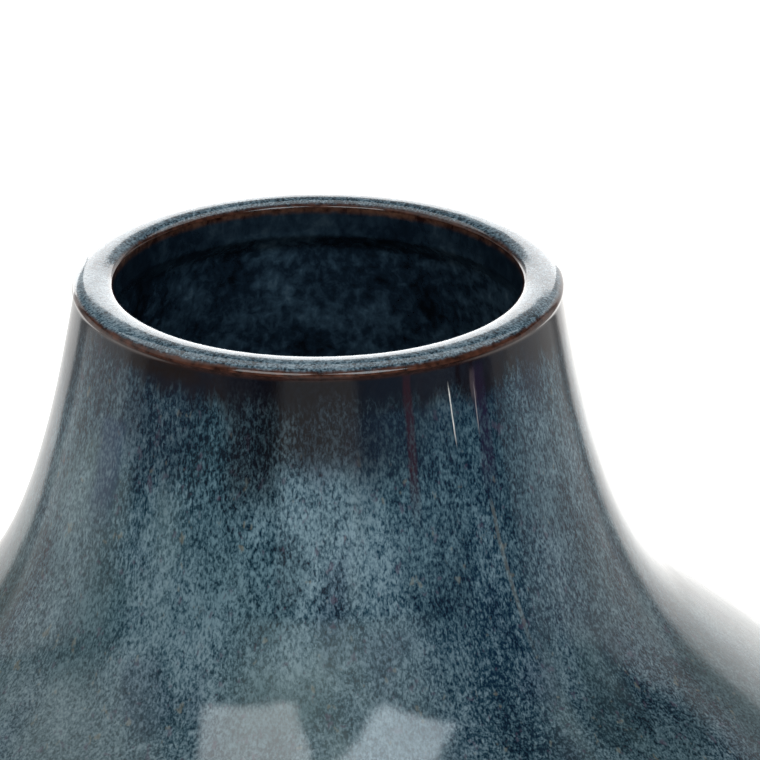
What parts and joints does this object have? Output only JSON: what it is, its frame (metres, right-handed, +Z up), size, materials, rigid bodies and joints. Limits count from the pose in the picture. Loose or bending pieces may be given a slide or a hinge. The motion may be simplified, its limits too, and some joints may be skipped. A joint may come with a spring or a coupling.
{
  "type": "flower vase",
  "caption": "Round-bellied stoneware flower vase with a flared neck, a thick rolled lip, a flecked blue-grey reactive glaze and felt pads under its foot ring.",
  "frame": {"origin": "on the vase's axis, on the surface that its felt pads stand on", "axes": "+Z up along the axis that the pot is turned on, -Y towards the viewer's front, +X to the viewer's right"},
  "size_m": [0.261, 0.261, 0.26],
  "materials": {
    "stoneware": "bare fired stoneware clay, dark brown, matt and slightly gritty",
    "blue_glaze": "glossy reactive glaze, slate blue with dense navy and pale grey flecks",
    "pale_glaze": "glossy pale grey-blue glaze with fine dark flecks, breaking brown at its edges",
    "navy_glaze": "glossy dark navy mottled liner glaze",
    "brown_glaze": "thin dark brown satin glaze",
    "felt": "pressed grey-brown felt"
  },
  "bodies": {
    "root": {"stoneware_body": "stoneware", "outer_glaze": "blue_glaze", "lip_glaze": "pale_glaze", "liner_glaze": "navy_glaze", "base_glaze": "brown_glaze", "foot_pad_1": "felt", "foot_pad_2": "felt", "foot_pad_3": "felt", "foot_pad_4": "felt"}
  },
  "joints": []
}
